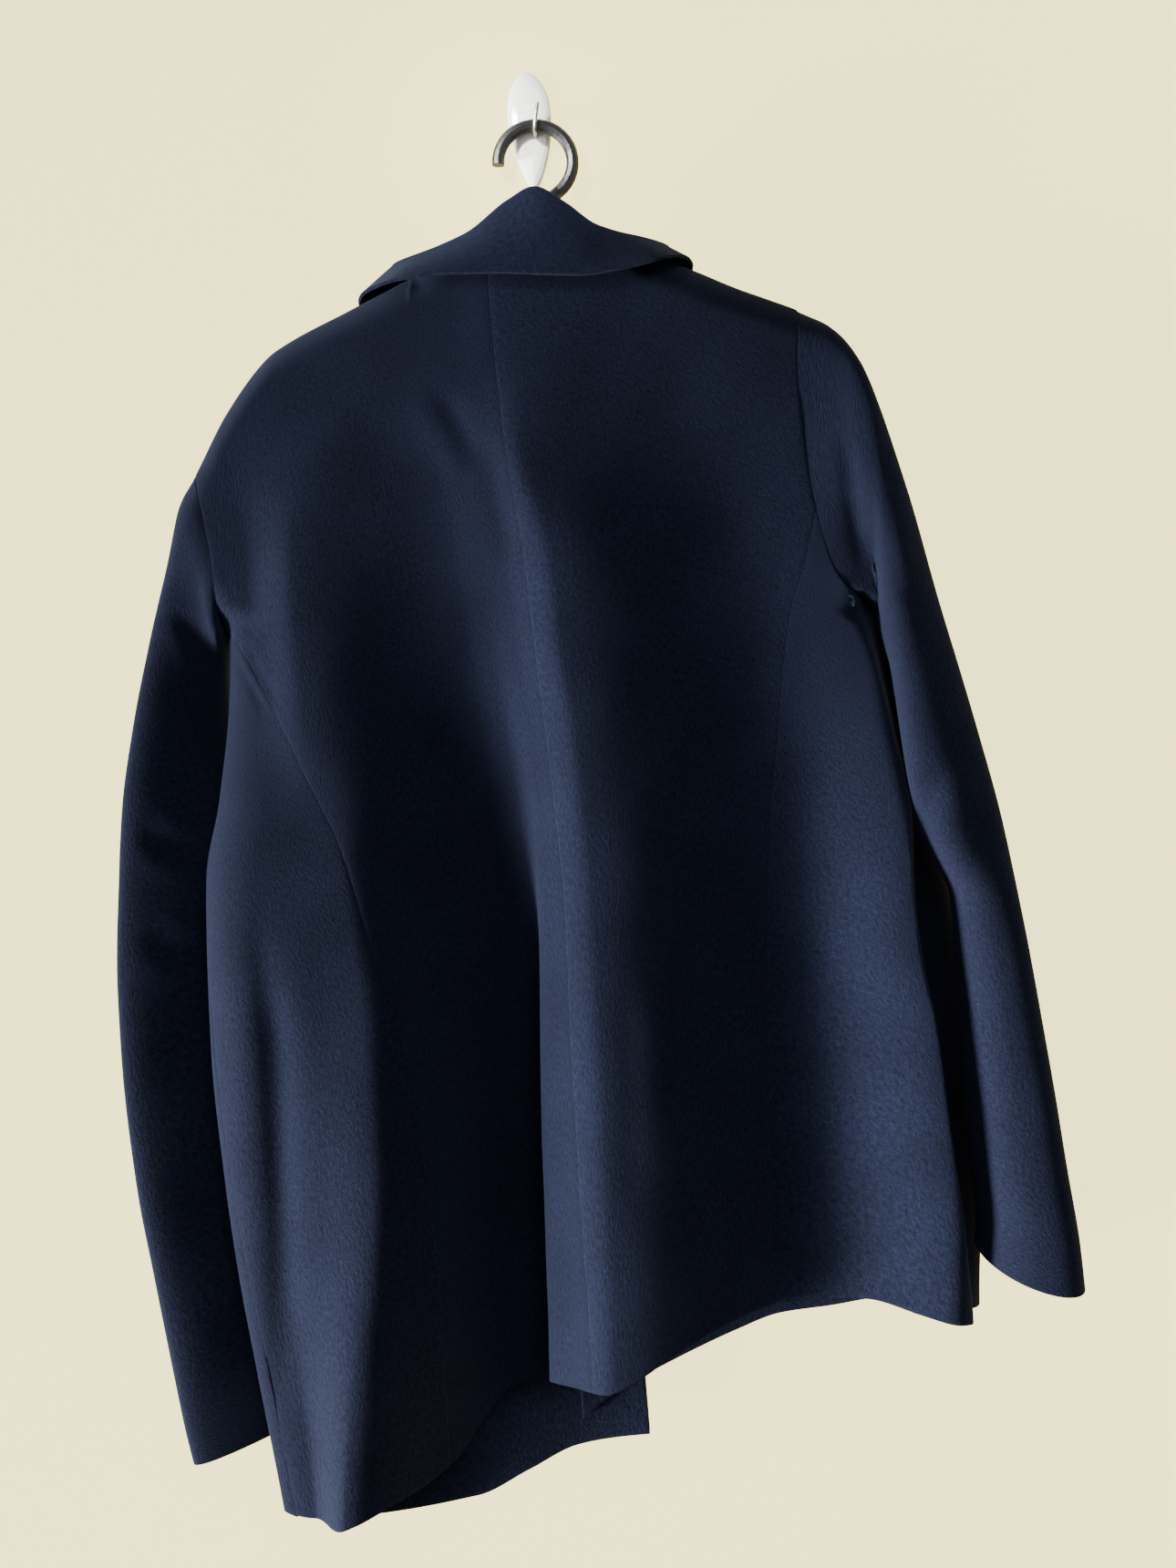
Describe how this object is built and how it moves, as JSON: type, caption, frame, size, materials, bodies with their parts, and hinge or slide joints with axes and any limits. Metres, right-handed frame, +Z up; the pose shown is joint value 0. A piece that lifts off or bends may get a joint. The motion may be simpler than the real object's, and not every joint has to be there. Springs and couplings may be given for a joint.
{
  "type": "wool jacket on a wall hook",
  "caption": "Long-sleeved navy wool jacket seen from the back, on a black plastic hanger that hangs from a small leaf-shaped wall hook.",
  "frame": {"origin": "middle of the wall plate's flat back, on the wall", "axes": "+Y into the wall, +Z up, +X to the right as one looks at the wall; the jacket's back faces -Y"},
  "size_m": [0.6128, 0.1207, 0.9602],
  "materials": {
    "navy_wool": "brushed wool with a short soft nap, matt",
    "black_plastic": "satin",
    "white_plastic": "glossy",
    "steel_wire": "bright drawn wire"
  },
  "bodies": {
    "root": {"back_left": "navy_wool", "back_right": "navy_wool", "side_back_left": "navy_wool", "side_back_right": "navy_wool", "front_left": "navy_wool", "front_right": "navy_wool", "sleeve_left": "navy_wool", "sleeve_right": "navy_wool", "collar": "navy_wool", "hanger": "black_plastic", "wall_plate": "white_plastic", "wire_hook": "steel_wire"}
  },
  "joints": []
}
